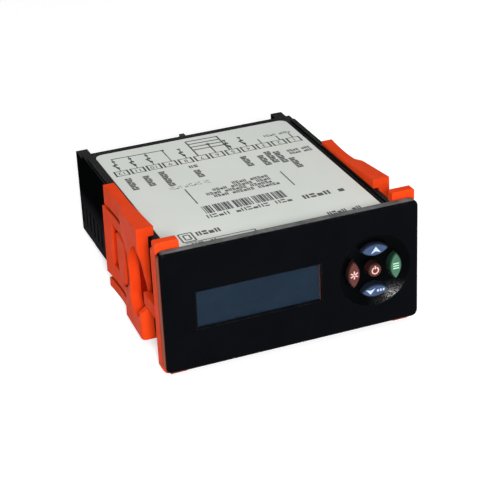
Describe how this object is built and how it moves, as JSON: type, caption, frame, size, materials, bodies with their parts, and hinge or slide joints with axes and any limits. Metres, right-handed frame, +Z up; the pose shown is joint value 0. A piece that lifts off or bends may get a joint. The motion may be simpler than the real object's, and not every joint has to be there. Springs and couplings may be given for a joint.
{
  "type": "digital temperature controller",
  "caption": "Panel-mount digital temperature controller with a display window, coloured keys in a round dish, a slim black case and sliding orange mounting clips.",
  "frame": {"origin": "centre of the bezel's back face, which lies on the panel", "axes": "+X right seen from the front, +Y from the user into the panel, +Z up"},
  "size_m": [0.0782, 0.0913, 0.0408],
  "materials": {
    "bezel_plastic": "glossy black",
    "lens_tint": "dark tinted, polished",
    "display_glass": "dark readout face",
    "key_blue": "translucent blue",
    "key_red": "translucent red brown",
    "key_green": "translucent green",
    "plunger_plastic": "black",
    "switch_body": "dark grey",
    "case_plastic": "fine satin black",
    "label_film": "printed off-white film",
    "clip_orange": "satin orange",
    "terminal_plastic": "black",
    "clamp_brass": "plain",
    "screw_steel": "zinc plated",
    "board_green": "solder resist",
    "chip_black": "moulded",
    "core_steel": "varnished laminations",
    "bobbin_plastic": "natural",
    "winding_copper": "enamelled copper wire under tape",
    "relay_plastic": "blue",
    "capacitor_sleeve": "sleeved can",
    "varistor_resin": "dipped resin"
  },
  "bodies": {
    "housing": {"front_bezel": "bezel_plastic", "display_lens": "lens_tint", "display_module": "display_glass", "display_board": "board_green", "tact_switches": "switch_body", "controller_chip": "chip_black", "buzzer": "chip_black", "board_header": "chip_black", "case": "case_plastic", "top_label": "label_film", "rear_cover": "case_plastic", "terminal_block": "terminal_plastic", "terminal_clamps": "clamp_brass", "terminal_screws": "screw_steel", "main_board": "board_green", "transformer_core": "core_steel", "transformer_bobbin": "bobbin_plastic", "transformer_winding": "winding_copper", "relay_1": "relay_plastic", "relay_2": "relay_plastic", "relay_3": "relay_plastic", "relay_4": "relay_plastic", "filter_capacitor": "capacitor_sleeve", "small_capacitor": "capacitor_sleeve", "bridge_rectifier": "chip_black", "voltage_regulator": "chip_black", "varistor": "varistor_resin"},
    "key_up": {"button_up": "key_blue", "plunger_up": "plunger_plastic"},
    "key_down": {"button_down": "key_blue", "plunger_down": "plunger_plastic"},
    "key_power": {"button_power": "key_red", "plunger_power": "plunger_plastic"},
    "key_set": {"button_set": "key_green", "plunger_set": "plunger_plastic"},
    "key_reset": {"button_reset": "key_red", "plunger_reset": "plunger_plastic"},
    "left_clip": {"clip_left": "clip_orange"},
    "right_clip": {"clip_right": "clip_orange"}
  },
  "joints": [
    {"name": "up_press", "type": "slide", "parent": "housing", "child": "key_up", "axis": [0, 1, 0], "range_m": [0, 0.0006], "stiffness_N_per_m": 1500, "springref_m": -0.0004},
    {"name": "down_press", "type": "slide", "parent": "housing", "child": "key_down", "axis": [0, 1, 0], "range_m": [0, 0.0006], "stiffness_N_per_m": 1500, "springref_m": -0.0004},
    {"name": "power_press", "type": "slide", "parent": "housing", "child": "key_power", "axis": [0, 1, 0], "range_m": [0, 0.0006], "stiffness_N_per_m": 1500, "springref_m": -0.0004},
    {"name": "set_press", "type": "slide", "parent": "housing", "child": "key_set", "axis": [0, 1, 0], "range_m": [0, 0.0006], "stiffness_N_per_m": 1500, "springref_m": -0.0004},
    {"name": "reset_press", "type": "slide", "parent": "housing", "child": "key_reset", "axis": [0, 1, 0], "range_m": [0, 0.0006], "stiffness_N_per_m": 1500, "springref_m": -0.0004},
    {"name": "left_clip_slide", "type": "slide", "parent": "housing", "child": "left_clip", "axis": [0, 1, 0], "range_m": [0, 0.035]},
    {"name": "right_clip_slide", "type": "slide", "parent": "housing", "child": "right_clip", "axis": [0, 1, 0], "range_m": [0, 0.035]}
  ]
}
